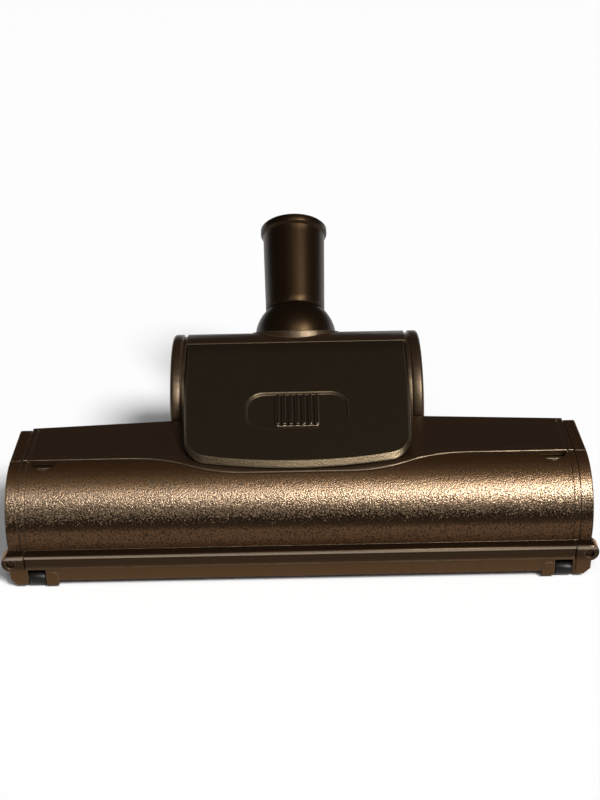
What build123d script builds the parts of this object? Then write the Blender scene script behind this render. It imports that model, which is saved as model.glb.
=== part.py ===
"""Air-driven floor brush head for a vacuum cleaner, in millimetres.

X runs along the brush, Y runs from the front bumper to the neck, Z is up from the floor.
The pieces are drawn with Y = 0 at the bumper's front and moved to the middle of the depth at the end.
"""

import os
from math import asin, atan2, cos, hypot, pi, radians, sin, sqrt, tan

from build123d import *

# Nozzle body
nozzle_width = 293.4
end_cap_width = 6.7
end_cap_groove = 0.6
end_cap_round = 1.0
end_line_inset = 2.8
end_line_width = 0.5
end_line_depth = 0.4
wall = 2.4
hood_radius = 29.8
hood_setback = 4.7
rear_gap = 5.8
sole_z = 3.0
seam_gap = 0.3
seam_lead = 1.9
seam_forward = 11.2
seam_straight_x = 86.0
seam_middle_x = 28.0
bead_width = 3.4
bead_height = 0.6
corner_round = 3.0

# Turbine drum and its cover
drum_radius = 40.0
drum_back = 76.5
drum_lift = 0.3
drum_half = 62.0
drum_side = 2.0
drum_notch = 1.2
cheek_width = 6.0
cheek_round = 2.0
cover_reach = 11.8
cover_bevel = 3.0
cover_side_bevel = 1.2
cover_narrowing = 2.2
cover_corner = 15.0
cover_bow = 6.5
cover_gap = 0.3
cover_shadow_gap = 0.7
cover_shadow_depth = 1.2
cover_wrap_deg = 95.0
duct_side = 6.0
duct_back = 5.5

# Slide in the cover
slide_travel = 8.0
recess_length = 52.0
recess_height = 24.5
recess_depth = 1.3
recess_rim = 0.6
recess_round = 9.0
recess_up_slope = -42.2
slide_gap = 0.4
slide_neck_length = 4.0
slide_neck_height = 6.0
slide_base_thickness = 0.7
slide_plate_margin = 4.0
slide_plate_cover = 1.0
slide_plate_thickness = 1.6
grip_margin = 0.4
grip_round = 1.8
rib_count = 7
rib_pitch = 3.4
rib_width = 1.7
rib_length = 21.0
rib_height = 1.3

# Turbine and belt
turbine_forward = 11.0
turbine_drop = 7.9
turbine_gap = 1.05
turbine_side_gap = 3.5
hub_radius = 6.5
blade_count = 12
blade_thickness = 1.4
blade_sweep_deg = 24.0
shaft_radius = 2.5
turbine_bush_radius = 5.0
turbine_bush_length = 6.0
boss_wall = 2.4
belt_side_gap = 1.5
belt_width = 6.0
belt_thickness = 1.4
belt_gap = 0.3
belt_clear = 1.0
turbine_pulley_radius = 7.0
brush_pulley_radius = 11.0
flange_height = 2.4
flange_width = 1.2

# Brush roller
core_radius = 9.0
tip_gap = 3.1
floor_gap = 0.8
tuft_radius = 2.2
tuft_root = 1.6
tuft_pitch = 9.4
tuft_rows = 2
tuft_turn_deg = 14.0
tuft_end_gap = 4.0
flange_inset = 10.0
flange_radius = 14.0
core_end_gap = 8.5
stub_radius = 4.0
brush_bush_radius = 8.0
brush_bush_length = 7.0
running_gap = 0.05

# Hood locks
lock_inset = 11.0
lock_radius = 6.4
lock_thickness = 1.8
lock_gap = 0.3
lock_cover_gap = 0.45
lock_cup_wall = 1.8
lock_stem_radius = 2.6
lock_seat_floor = 2.0
lock_slot_width = 1.6
lock_slot_depth = 1.0
lock_foot_width = 4.0
lock_foot_reach = 9.5
lock_foot_thickness = 1.6

# Bumper, rollers and wheels
strip_inset = 8.7
strip_top_z = 19.1
strip_bottom_z = 3.9
strip_round = 1.2
strip_groove = 0.3
strip_bead = 2.6
strip_band_z = 11.2
strip_band_depth = 1.3
strip_low_depth = 0.6
buffer_overhang = 3.3
buffer_knob_radius = 4.9
buffer_dimple_radius = 3.2
buffer_dimple_depth = 1.4
buffer_gap = 0.4
buffer_slant = 3.4
lug_bottom_z = 1.5
lug_width = 6.2
lug_top_z = 9.0
lug_round = 2.0
roller_inset = 5.4
roller_width = 8.2
roller_radius = 3.8
roller_notch_top = 10.4
roller_gap = 0.5
roller_axle_radius = 1.2
roller_axle_cover = 0.2
wheel_inset = 17.0
wheel_gap = 1.4
wheel_radius = 9.0
wheel_width = 8.0
wheel_axle_radius = 2.0
wheel_ear = 2.2
wheel_ear_radius = 4.6

# Neck
knuckle_deg = 48.1
knuckle_sink = 1.9
knuckle_radius = 23.0
knuckle_gap = 0.35
knuckle_inner = 18.4
knuckle_wall = 3.0
neck_rest_deg = 41.5
neck_base = 15.8
trunnion_radius = 2.0
trunnion_length = 5.0
trunnion_boss = 3.2
collar_deg = 62.0
collar_rise = 0.4
collar_start = 9.0
tube_length = 55.0
tube_base_wall = 0.9
tube_mouth_wall = 2.0
tube_lip_wall = 3.4
tube_lip_length = 4.8
tube_lip_round = 1.4
wand_radius = 15.9
spigot_wall = 2.2
spigot_length = 14.0
ring_room = 4.0
ring_thickness = 1.6
ring_groove = 1.0
ring_inset = 0.6
ring_shoulder = 1.1
ring_gap = 0.4
axial_gap = 0.3

# Suction mouth and screws
mouth_gap = 4.0
mouth_end_gap = 4.0
column_inner_gap = 4.0
column_outer_gap = 11.5
column_radius = 3.6
screw_radius = 1.5
screw_head_radius = 2.8
screw_head_height = 1.8
screw_length = 16.0

# Values that follow from the ones above
body_half = nozzle_width / 2 - end_cap_width
tuft_tip_radius = hood_radius - wall - tip_gap
brush_y = hood_setback + hood_radius
seam_y = brush_y - seam_lead
brush_z = floor_gap + tuft_tip_radius
panel_z = brush_z + hood_radius
hood_edge_z = strip_top_z + strip_groove
hood_edge_y = brush_y - sqrt(hood_radius**2 - (brush_z - hood_edge_z) ** 2)
rear_end_y = brush_y + tuft_tip_radius + rear_gap + wall
sole_top = sole_z + wall
drum_y = brush_y + drum_back
drum_z = sole_z + drum_lift + drum_radius
rear_drum_y = drum_y - sqrt(drum_radius**2 - (panel_z - drum_z) ** 2)
drum_inner_half = drum_half - drum_side
cover_half = drum_inner_half - cover_gap
cover_front_half = cover_half - cover_narrowing
cover_front_y = brush_y - cover_reach
cover_front_z = brush_z + sqrt(hood_radius**2 - cover_reach**2) + cover_gap
cover_top_z = cover_front_z + cover_bevel
to_drum = hypot(drum_y - cover_front_y, drum_z - cover_top_z)
slope = atan2(drum_z - cover_top_z, drum_y - cover_front_y) + asin(drum_radius / to_drum)
cover_end_y = drum_y + drum_radius * cos(radians(cover_wrap_deg))
duct_half = drum_inner_half - duct_side
duct_front_y = brush_y + duct_back
slot_length = slide_neck_length + 2 * slide_travel + 2 * slide_gap
grip_length = (rib_count - 1) * rib_pitch + rib_width + 2 * grip_margin
turbine_y = drum_y - turbine_forward
turbine_z = drum_z - turbine_drop
turbine_radius = drum_radius - wall - hypot(turbine_forward, turbine_drop) - turbine_gap
split_z = turbine_z
pulley_half = belt_width / 2 + belt_gap + flange_width
belt_x = drum_inner_half - turbine_bush_length - belt_side_gap - pulley_half
turbine_half = belt_x - pulley_half - turbine_side_gap
core_end_x = body_half - core_end_gap
flange_x = core_end_x - flange_inset
tuft_end_x = flange_x - tuft_end_gap
lock_x = body_half - lock_inset
lock_top = wall + lock_cover_gap
lock_floor = lock_top + lock_thickness + lock_gap
lock_foot_top = lock_floor + lock_seat_floor + lock_gap
lock_cup_radius = lock_radius + lock_gap + lock_cup_wall
strip_half = nozzle_width / 2 - strip_inset
strip_back_y = hood_edge_y
buffer_reach = nozzle_width / 2 + buffer_overhang
buffer_knob_z = strip_top_z - buffer_knob_radius
roller_x = strip_half - roller_inset
roller_y = strip_back_y - roller_axle_radius - roller_axle_cover
wheel_x = drum_half - wheel_inset
wheel_y = drum_y + sqrt((drum_radius + wheel_radius + wheel_gap) ** 2 - (drum_z - wheel_radius) ** 2)
knuckle_y = drum_y + (drum_radius - knuckle_sink) * cos(radians(knuckle_deg))
knuckle_z = drum_z + (drum_radius - knuckle_sink) * sin(radians(knuckle_deg))
tube_base_radius = wand_radius + tube_base_wall
tube_mouth_radius = wand_radius + tube_mouth_wall
tube_lip_radius = wand_radius + tube_lip_wall
ring_radius = wand_radius - ring_inset
spigot_radius = ring_radius - ring_shoulder
spigot_bore = spigot_radius - spigot_wall
mouth_half_depth = sqrt(tuft_tip_radius**2 - (brush_z - sole_top) ** 2) + mouth_gap
mouth_half_width = flange_x + mouth_end_gap


def block(x0, x1, y0, y1, z0, z1):
    """Box between two corners."""
    centre = Pos((x0 + x1) / 2, (y0 + y1) / 2, (z0 + z1) / 2)
    return centre * Box(x1 - x0, y1 - y0, z1 - z0)


def rod(radius, x0, x1, y, z):
    """Round bar along X."""
    return Pos((x0 + x1) / 2, y, z) * Rot(0, 90, 0) * Cylinder(radius, x1 - x0)


def prism_x(profile, x0, x1):
    """Side profile, drawn in Y and Z, carried along X."""
    return extrude(Plane.YZ.offset(x0) * profile, amount=x1 - x0)


def prism_z(plan, z0, z1):
    """Plan, drawn in X and Y, carried up."""
    return extrude(Plane.XY.offset(z0) * plan, amount=z1 - z0)


def mirrored(piece):
    """The same piece on the other side."""
    return mirror(piece, about=Plane.YZ)


def both(piece):
    """A piece and its twin, as one shape to add or cut."""
    return piece + mirrored(piece)


def drum_point(radius, angle):
    """Point in Y and Z on a circle about the drum's axis, the angle in radians from +Y."""
    return (drum_y + radius * cos(angle), drum_z + radius * sin(angle))


def nozzle_plan(inset):
    """Plan of the nozzle between the end caps; the rear edge sweeps back to the drum."""
    outline = Polyline(
        (-body_half, 0),
        (body_half, 0),
        (body_half, rear_end_y - inset),
        (drum_half, rear_drum_y - inset),
        (-drum_half, rear_drum_y - inset),
        (-body_half, rear_end_y - inset),
        close=True,
    )
    return make_face(outline)


def rear_edge(x):
    """Y of the nozzle's rear edge beside the drum."""
    share = (body_half - x) / (body_half - drum_half)
    return rear_end_y + share * (rear_drum_y - rear_end_y)


def rear_wall(z0, z1):
    """Upright wall along the nozzle's rear edge."""
    return prism_z(nozzle_plan(0) - nozzle_plan(wall), z0, z1)


def seam_plan(offset):
    """Plan of all that lies in front of the seam, moved back by an offset."""
    x_end = nozzle_width / 2 + 1
    y_out = seam_y + offset
    y_in = seam_y - seam_forward + offset
    x_turn = (seam_straight_x + seam_middle_x) / 2
    y_turn = (y_out + y_in) / 2
    start = Polyline((0, -1), (x_end, -1), (x_end, y_out), (seam_straight_x, y_out))
    outer_bend = TangentArc((seam_straight_x, y_out), (x_turn, y_turn), tangent=(-1, 0))
    inner_bend = TangentArc((x_turn, y_turn), (seam_middle_x, y_in), tangent=outer_bend % 1)
    close = Polyline((seam_middle_x, y_in), (0, y_in), (0, -1))
    half = make_face(start + outer_bend + inner_bend + close)
    return half + mirror(half, about=Plane.YZ)


def nozzle_shell():
    """Curved front and flat top of the nozzle as one wall, before the seam parts it."""
    ring = Circle(hood_radius) - Circle(hood_radius - wall)
    front = Pos(brush_y, brush_z) * ring
    keep_y = hood_radius
    keep_z = panel_z - hood_edge_z
    front &= Pos(brush_y - keep_y / 2, hood_edge_z + keep_z / 2) * Rectangle(keep_y, keep_z)
    flat_y = rear_drum_y - brush_y
    flat = Pos(brush_y + flat_y / 2, panel_z - wall / 2) * Rectangle(flat_y, wall)
    return prism_x(front + flat, -body_half, body_half)


def lock_frame():
    """Level plane on the panel's top, at the right-hand lock's place on the seam."""
    return Plane(origin=(lock_x, seam_y, panel_z), x_dir=(1, 0, 0), z_dir=(0, 0, 1))


def disc_down(frame, radius, top, bottom):
    """Round bar along a frame's normal, between two depths under its origin."""
    return frame * Pos(0, 0, -(top + bottom) / 2) * Cylinder(radius, bottom - top)


def end_lines():
    """Fine lines cut round the nozzle near its ends."""
    x1 = body_half - end_line_inset
    ring = prism_x(cap_profile(-wall) - cap_profile(end_line_depth), x1 - end_line_width, x1)
    return both(ring)


def front_hood():
    """Curved hood over the brush, with a cup for each lock whose floor reaches under the panel."""
    in_front = prism_z(seam_plan(-seam_gap / 2), 0, panel_z + 1)
    frame = lock_frame()
    cup = disc_down(frame, lock_cup_radius, 0, lock_floor) & in_front
    cup &= rod(hood_radius, 0, body_half, brush_y, brush_z)
    floor = disc_down(frame, lock_cup_radius, lock_floor, lock_floor + lock_seat_floor)
    floor &= block(0, body_half, 0, seam_y + lock_stem_radius + boss_wall, 0, panel_z)
    pocket = disc_down(frame, lock_radius + lock_gap, -hood_radius, lock_floor)
    hole = disc_down(frame, lock_stem_radius + running_gap, 0, hood_radius)
    hood = (nozzle_shell() & in_front) + both(cup + floor)
    return hood - both(pocket) - both(hole) - end_lines()


def hood_lock():
    """Quarter-turn lock: a disc that half shows in front of the seam, a stem and a foot below."""
    frame = lock_frame()
    disc = disc_down(frame, lock_radius, lock_top, lock_top + lock_thickness)
    disc += disc_down(frame, lock_stem_radius, lock_top, lock_foot_top + lock_foot_thickness)
    slot_place = frame * Pos(0, -lock_radius / 2, -lock_top - lock_slot_depth / 2)
    slot = slot_place * Box(lock_radius, lock_slot_width, lock_slot_depth)
    foot_place = frame * Pos(0, lock_foot_reach / 2, -lock_foot_top - lock_foot_thickness / 2)
    foot = foot_place * Box(lock_foot_width, lock_foot_reach, lock_foot_thickness)
    return disc - slot + foot


def lock_catch():
    """Block under the panel that the right-hand lock's foot turns beneath."""
    y0 = seam_y + lock_radius + 2 * lock_gap
    y1 = seam_y + lock_foot_reach
    z0 = panel_z - lock_foot_top + lock_gap
    return block(lock_x - lock_foot_width, lock_x + lock_foot_width, y0, y1, z0, panel_z - wall / 2)


def drum():
    """Hollow drum with closed sides set a little lower, open in front for air and belt."""
    shell = rod(drum_radius, -drum_inner_half, drum_inner_half, drum_y, drum_z)
    shell += rod(drum_radius - drum_notch, -drum_half, drum_half, drum_y, drum_z)
    shell -= rod(drum_radius - wall, -drum_inner_half, drum_inner_half, drum_y, drum_z)
    top_z = drum_z + drum_radius + 1
    open_top = block(-drum_inner_half, drum_inner_half, 0, cover_end_y + cover_gap, split_z, top_z)
    open_low = block(-drum_inner_half, drum_inner_half, 0, rear_drum_y, 0, split_z)
    return shell - open_top - open_low


def bearing_boss():
    """Seats for the turbine bushes on the drum's sides."""
    x0 = drum_inner_half - turbine_bush_length
    radius = turbine_bush_radius + boss_wall
    return both(rod(radius, x0, drum_inner_half, turbine_y, turbine_z))


def bearing_hole():
    """Room for the bushes in those seats."""
    x0 = drum_inner_half - turbine_bush_length
    return both(rod(turbine_bush_radius, x0, drum_inner_half, turbine_y, turbine_z))


def above_split(piece):
    """The share of a piece that belongs to the upper housing."""
    reach = nozzle_width
    return piece & block(-reach, reach, -reach, reach, split_z, reach)


def below_split(piece):
    """The share of a piece that belongs to the lower housing."""
    reach = nozzle_width
    return piece & block(-reach, reach, -reach, reach, -reach, split_z)


def columns(radius, z0, z1):
    """Upright bars at the screw places."""
    bars = Part()
    for x in (drum_half + column_inner_gap, body_half - column_outer_gap):
        y = rear_edge(x) - wall - column_radius - seam_gap
        bars += both(Pos(x, y, (z0 + z1) / 2) * Cylinder(radius, z1 - z0))
    return bars


def seam_bead(x0, x1):
    """Raised bead behind the seam between two places along X, left out under the cover."""
    bead = prism_z(seam_plan(bead_width) - seam_plan(seam_gap / 2), brush_z, panel_z + bead_height)
    on_hood = rod(hood_radius + bead_height, x0, x1, brush_y, brush_z)
    on_hood -= rod(hood_radius - wall / 2, x0, x1, brush_y, brush_z)
    on_hood &= block(x0, x1, 0, brush_y, brush_z, panel_z + bead_height)
    on_panel = block(x0, x1, brush_y, drum_y, panel_z - wall / 2, panel_z + bead_height)
    bead &= on_hood + on_panel
    return bead - prism_z(cover_plan(-cover_gap), 0, drum_z + drum_radius)


def neck_collar():
    """Low wall on the drum in front of the neck; it runs out into the drum's top at both ends."""
    lean = radians(collar_deg)
    frame = Plane(origin=(0, knuckle_y, knuckle_z), x_dir=(1, 0, 0), z_dir=(0, cos(lean), sin(lean)))
    middle = (drum_radius - knuckle_sink) * cos(radians(collar_deg - knuckle_deg))
    top = drum_radius + collar_rise - middle
    radius = knuckle_radius + knuckle_gap + wall
    collar = frame * Pos(0, 0, (top - radius) / 2) * Cylinder(radius, top + radius)
    collar &= frame * Pos(0, -collar_start - radius, 0) * Box(2 * radius, 2 * radius, 4 * radius)
    return collar - rod(drum_radius - wall, -drum_inner_half, drum_inner_half, drum_y, drum_z)


def upper_housing():
    """Rear panel, upper half of the drum and the neck's socket."""
    panel = nozzle_shell() - prism_z(seam_plan(seam_gap / 2), 0, panel_z + 1)
    panel &= prism_z(nozzle_plan(0), 0, panel_z + 1)
    panel += seam_bead(-body_half, body_half) + both(lock_catch())
    panel -= end_lines()
    panel -= block(-duct_half, duct_half, duct_front_y, rear_drum_y + 1, split_z, panel_z + 1)
    walls = rear_wall(split_z, panel_z)
    walls -= block(-drum_inner_half, drum_inner_half, 0, drum_y, split_z, panel_z + 1)
    body = panel + walls + above_split(drum())
    body += above_split(bearing_boss())
    body -= above_split(bearing_hole())
    boss_end = knuckle_radius + knuckle_gap + trunnion_length + wall
    body += rod(trunnion_boss, -boss_end, boss_end, knuckle_y, knuckle_z)
    body += neck_collar()
    body -= Pos(0, knuckle_y, knuckle_z) * Sphere(knuckle_radius + knuckle_gap)
    hole_end = knuckle_radius + trunnion_length + axial_gap
    body -= rod(trunnion_radius + running_gap, -hole_end, hole_end, knuckle_y, knuckle_z)
    body += columns(column_radius, sole_top, panel_z - wall)
    body -= columns(screw_radius, sole_top, sole_z + screw_length)
    return body


def belt_way(extra):
    """Room round the belt and its pulleys, a given distance outside them."""
    outline = belt_outline(belt_gap + belt_thickness + extra)
    half = pulley_half + extra
    return prism_x(outline, belt_x - half, belt_x + half)


def belt_tunnel():
    """Closed way for the belt between the rear wall and the drum."""
    reach = block(0, drum_half, rear_drum_y - wall, turbine_y, sole_z, split_z)
    tunnel = belt_way(belt_clear + wall) & reach
    return tunnel - rod(drum_radius - wall, 0, drum_half, drum_y, drum_z)


def wheel_ears():
    """Ears under the drum that hold the rear wheels' axles."""
    tip = Pos(wheel_y, wheel_radius) * Circle(wheel_ear_radius)
    root = Pos(*drum_point(drum_radius - wall, atan2(wheel_radius - drum_z, wheel_y - drum_y)))
    outline = make_hull(tip.edges() + (root * Circle(2 * wheel_ear_radius)).edges())
    x0 = wheel_x - wheel_width / 2 - roller_gap
    x1 = wheel_x + wheel_width / 2 + roller_gap
    pair = prism_x(outline, x0 - wheel_ear, x0) + prism_x(outline, x1, x1 + wheel_ear)
    pair -= rod(drum_radius - wall, 0, drum_half, drum_y, drum_z)
    pair -= rod(wheel_axle_radius, 0, drum_half, wheel_y, wheel_radius)
    return both(pair)


def lower_housing():
    """Sole with the suction mouth, front lip, rear wall and lower half of the drum."""
    sole = prism_z(nozzle_plan(0), sole_z, sole_top)
    sole -= block(-body_half, body_half, -1, hood_edge_y, sole_z, sole_top)
    lip = block(-body_half, body_half, hood_edge_y, hood_edge_y + wall, sole_z, hood_edge_z - seam_gap)
    body = sole + lip + rear_wall(sole_z, split_z)
    body -= rod(drum_radius - wall, -drum_inner_half, drum_inner_half, drum_y, drum_z)
    body += below_split(drum())
    body += below_split(bearing_boss())
    body -= below_split(bearing_hole())
    body += belt_tunnel()
    body -= below_split(belt_way(belt_clear))
    mouth_y0 = brush_y - mouth_half_depth
    mouth_y1 = brush_y + mouth_half_depth
    mouth_plan = RectangleRounded(2 * mouth_half_width, mouth_y1 - mouth_y0, corner_round)
    body -= prism_z(Pos(0, (mouth_y0 + mouth_y1) / 2) * mouth_plan, 0, sole_top)
    notch_x0 = roller_x - roller_width / 2 - roller_gap
    notch_x1 = roller_x + roller_width / 2 + roller_gap
    notch_y1 = roller_y + roller_radius + roller_gap
    body -= both(block(notch_x0, notch_x1, 0, notch_y1, 0, roller_notch_top))
    body += wheel_ears()
    body -= columns(screw_radius, 0, sole_top)
    body -= columns(screw_head_radius, 0, sole_z + screw_head_height)
    return body


def cap_profile(inset):
    """Side outline of the nozzle's ends."""
    disc = Pos(brush_y, brush_z) * Circle(hood_radius - inset)
    y0 = hood_edge_y + inset
    y1 = rear_end_y - inset
    z0 = sole_z + inset
    z1 = panel_z - inset
    rear = Pos((brush_y + y1) / 2, (z0 + z1) / 2) * Rectangle(y1 - brush_y, z1 - z0)
    front = Pos((y0 + brush_y) / 2, (z0 + hood_edge_z) / 2) * Rectangle(brush_y - y0, hood_edge_z - z0)
    outline = disc + rear + front
    outline &= Pos((y0 + y1) / 2, (z0 + z1) / 2) * Rectangle(2 * (y1 - y0), z1 - z0)
    rear_corners = outline.vertices().group_by(Axis.X)[-1]
    return fillet(rear_corners, corner_round)


def end_cap():
    """Right end of the nozzle, with a fine groove at its joint and the brush bearing's seat."""
    x0 = body_half
    x1 = nozzle_width / 2
    neck = prism_x(cap_profile(end_cap_groove), x0, x0 + end_cap_groove)
    plate = prism_x(cap_profile(0), x0 + end_cap_groove, x1)
    outer_rim = plate.faces().sort_by(Axis.X)[-1].edges()
    plate = fillet(outer_rim, end_cap_round)
    plate += seam_bead(x0 + end_cap_groove, x1 - end_cap_round)
    seat_x = core_end_x + running_gap
    seat = rod(brush_bush_radius + boss_wall, seat_x, x0, brush_y, brush_z)
    room = rod(brush_bush_radius, seat_x, seat_x + brush_bush_length, brush_y, brush_z)
    return neck + plate + seat - room


def brush_bush():
    """Right-hand plain bearing of the brush."""
    x0 = core_end_x + running_gap
    bush = rod(brush_bush_radius, x0, x0 + brush_bush_length, brush_y, brush_z)
    return bush - rod(stub_radius + running_gap, x0, x0 + brush_bush_length, brush_y, brush_z)


def turbine_bush():
    """Right-hand plain bearing of the turbine."""
    x1 = drum_inner_half
    x0 = x1 - turbine_bush_length
    bush = rod(turbine_bush_radius, x0, x1, turbine_y, turbine_z)
    return bush - rod(shaft_radius + running_gap, x0, x1, turbine_y, turbine_z)


def tuft_places():
    """Place along X and angle of each tuft: rows that turn one way from the middle to each end."""
    places = []
    count = int(tuft_end_x / tuft_pitch)
    for row in range(tuft_rows):
        for step in range(-count, count + 1):
            x = step * tuft_pitch
            if abs(x - belt_x) > pulley_half + tuft_radius:
                places.append((x, row * 360 / tuft_rows + abs(step) * tuft_turn_deg))
    return places


def bristle_tufts():
    """Six-sided bundles of bristle, set in holes in the core."""
    root = core_radius - tuft_root
    bundle = extrude(Plane.XY.offset(root) * RegularPolygon(tuft_radius, 6), tuft_tip_radius - root)
    return [Pos(x, brush_y, brush_z) * Rot(angle, 0, 0) * bundle for x, angle in tuft_places()]


def brush_core(tufts):
    """Moulded roller with end flanges, stub shafts and the tuft holes."""
    core = rod(core_radius, -core_end_x, core_end_x, brush_y, brush_z)
    core += both(rod(flange_radius, flange_x, flange_x + wall, brush_y, brush_z))
    stub_end = core_end_x + brush_bush_length
    core += rod(stub_radius, -stub_end, stub_end, brush_y, brush_z)
    return core - tufts


def pulley(radius, bore, y, z):
    """Flanged belt pulley."""
    x0 = belt_x - pulley_half
    x1 = belt_x + pulley_half
    ring = rod(radius + flange_height, x0, x1, y, z)
    groove = rod(radius + flange_height, x0 + flange_width, x1 - flange_width, y, z)
    groove -= rod(radius, x0, x1, y, z)
    return ring - groove - rod(bore, x0, x1, y, z)


def belt_outline(extra):
    """Loop round both pulleys, a given distance outside them."""
    rear = Pos(turbine_y, turbine_z) * Circle(turbine_pulley_radius + extra)
    front = Pos(brush_y, brush_z) * Circle(brush_pulley_radius + extra)
    return make_hull(rear.edges() + front.edges())


def drive_belt():
    """Flat belt from the turbine to the brush."""
    loop = belt_outline(belt_gap + belt_thickness) - belt_outline(belt_gap)
    return prism_x(loop, belt_x - belt_width / 2, belt_x + belt_width / 2)


def turbine_wheel():
    """Wheel of swept blades on a hub."""
    tip = turbine_radius
    sweep = radians(blade_sweep_deg)
    middle = (hub_radius + tip) / 2
    lean = radians(blade_sweep_deg / 6)
    spine_root = (hub_radius - 1, 0)
    spine_middle = (middle * cos(lean), middle * sin(lean))
    spine_tip = (tip * cos(sweep), tip * sin(sweep))
    spine = ThreePointArc(spine_root, spine_middle, spine_tip)
    blade = trace(spine, blade_thickness)
    wheel = Circle(hub_radius) + PolarLocations(0, blade_count) * blade
    wheel &= Circle(tip)
    wheel -= Circle(shaft_radius)
    return prism_x(Pos(turbine_y, turbine_z) * wheel, -turbine_half, turbine_half)


def slope_plane():
    """Plane of the cover's top where it leaves the drum, with local Y up the slope."""
    y, z = drum_point(drum_radius, pi / 2 + slope)
    return Plane(origin=(0, y, z), x_dir=(1, 0, 0), z_dir=(0, -sin(slope), cos(slope)))


def on_slope(depth):
    """Plane at the slide's middle, at a depth under the cover's top."""
    return slope_plane() * Pos(0, recess_up_slope, -depth)


def nozzle_solid(extra):
    """All that lies inside the nozzle's curved front and flat top, grown by a distance."""
    hood = rod(hood_radius + extra, -body_half, body_half, brush_y, brush_z)
    return hood + block(-body_half, body_half, brush_y, drum_y, 0, panel_z + extra)


def cover_profile(inset):
    """Side profile of the cover's top: up the slope, back over the drum and down to the panel."""
    radius = drum_radius - inset
    leave = drum_point(radius, pi / 2 + slope)
    end = drum_point(radius, radians(cover_wrap_deg))
    middle = drum_point(radius, (pi / 2 + slope + radians(cover_wrap_deg)) / 2)
    low_z = cover_front_z - wall
    front = (leave[0] - (leave[1] - low_z) / tan(slope), low_z)
    wrap = ThreePointArc(leave, middle, end)
    rest = Polyline(end, (end[0], low_z), front, leave)
    return make_face(wrap + rest)


def cover_plan(inset, widen=0):
    """Plan of the cover: a little narrower in front, bowed front edge, round corners."""
    rear = cover_half - inset + widen
    front = cover_front_half - inset + widen
    y0 = cover_front_y + inset
    y1 = cover_end_y + 1
    bow = ThreePointArc((-front, y0 + cover_bow), (0, y0), (front, y0 + cover_bow))
    rest = Polyline((front, y0 + cover_bow), (rear, rear_drum_y), (rear, y1))
    rest += Polyline((rear, y1), (-rear, y1), (-rear, rear_drum_y), (-front, y0 + cover_bow))
    outline = make_face(bow + rest)
    return fillet(outline.vertices().group_by(Axis.Y)[0], cover_corner - inset)


def turbine_cover():
    """Sloping cover, hollow below, with the slide's recess and slot; its bevel fades at the corners."""
    height = drum_z + drum_radius + 1
    widen = cover_bevel - cover_side_bevel
    half = cover_half + widen
    top = prism_x(cover_profile(0), -half, half) & prism_z(cover_plan(0, widen), 0, height)
    flat = top.faces().filter_by(slope_plane()).sort_by(Axis.Z)[-1]
    front_and_sides = flat.edges().sort_by(Axis.Y)[:-1]
    top = chamfer(front_and_sides, cover_bevel) & prism_z(cover_plan(0), 0, height)
    hollow = prism_x(cover_profile(wall), -cover_half, cover_half) & prism_z(cover_plan(wall), 0, height)
    edge = prism_z(cover_plan(0) - cover_plan(cover_shadow_depth), 0, height)
    shadow = edge & nozzle_solid(cover_shadow_gap)
    recess_plan = RectangleRounded(recess_length, recess_height, recess_round)
    recess = extrude(on_slope(0) * recess_plan, -recess_depth)
    rim_plan = RectangleRounded(
        recess_length + 2 * recess_rim,
        recess_height + 2 * recess_rim,
        recess_round + recess_rim,
    )
    recess += loft([on_slope(0) * rim_plan, on_slope(recess_rim) * recess_plan])
    slot = Rectangle(slot_length, slide_neck_height + 2 * slide_gap)
    slot = extrude(on_slope(0) * slot, -2 * wall)
    return top - hollow - nozzle_solid(cover_gap / 3) - shadow - recess - slot


def slide_grip():
    """Finger grip with cross ribs; its neck passes through the cover's slot."""
    floor = recess_depth - slide_gap / 2
    plate = RectangleRounded(grip_length, rib_length + 2 * grip_margin, grip_round)
    grip = extrude(on_slope(floor) * plate, slide_base_thickness)
    for step in range(rib_count):
        x = (step - (rib_count - 1) / 2) * rib_pitch
        rib = Pos(x, 0) * SlotOverall(rib_length, rib_width, rotation=90)
        grip += extrude(on_slope(floor - slide_base_thickness) * rib, rib_height)
    neck = Rectangle(slide_neck_length, slide_neck_height)
    grip += extrude(on_slope(floor) * neck, -(wall - floor + slide_gap))
    return grip


def slide_plate():
    """Plate under the cover that the grip carries."""
    plate = RectangleRounded(
        slot_length + 2 * slide_travel + 2 * slide_plate_cover,
        slide_neck_height + 2 * slide_plate_margin,
        corner_round,
    )
    return extrude(on_slope(wall + slide_gap) * plate, -slide_plate_thickness)


def turbine_cheek():
    """Right-hand round cover on the drum's side, with a fine step at its joint."""
    x0 = drum_half
    x1 = drum_half + cheek_width
    step = rod(drum_radius - drum_notch, x0, x0 + end_cap_groove, drum_y, drum_z)
    disc = rod(drum_radius, x0 + end_cap_groove, x1, drum_y, drum_z)
    disc = fillet(disc.faces().sort_by(Axis.X)[-1].edges(), cheek_round)
    dish = rod(drum_radius - 3 * wall, x1 - cheek_width / 4, x1, drum_y, drum_z)
    clear = prism_z(nozzle_plan(-end_cap_groove), 0, panel_z + end_cap_groove)
    return step + disc - dish - clear


def strip_section():
    """Side profile of the bumper strip: a round bead on top, a set-back band and a lower band."""
    bead_z = strip_top_z - strip_bead
    outline = Polyline(
        (strip_back_y, strip_bottom_z),
        (strip_low_depth, strip_bottom_z),
        (strip_low_depth, strip_band_z),
        (strip_band_depth, strip_band_z),
        (strip_band_depth, bead_z),
        (0, bead_z),
        (0, strip_top_z),
        (strip_back_y, strip_top_z),
        close=True,
    )
    section = make_face(outline)
    return fillet(section.vertices().group_by(Axis.X)[0], strip_round)


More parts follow.
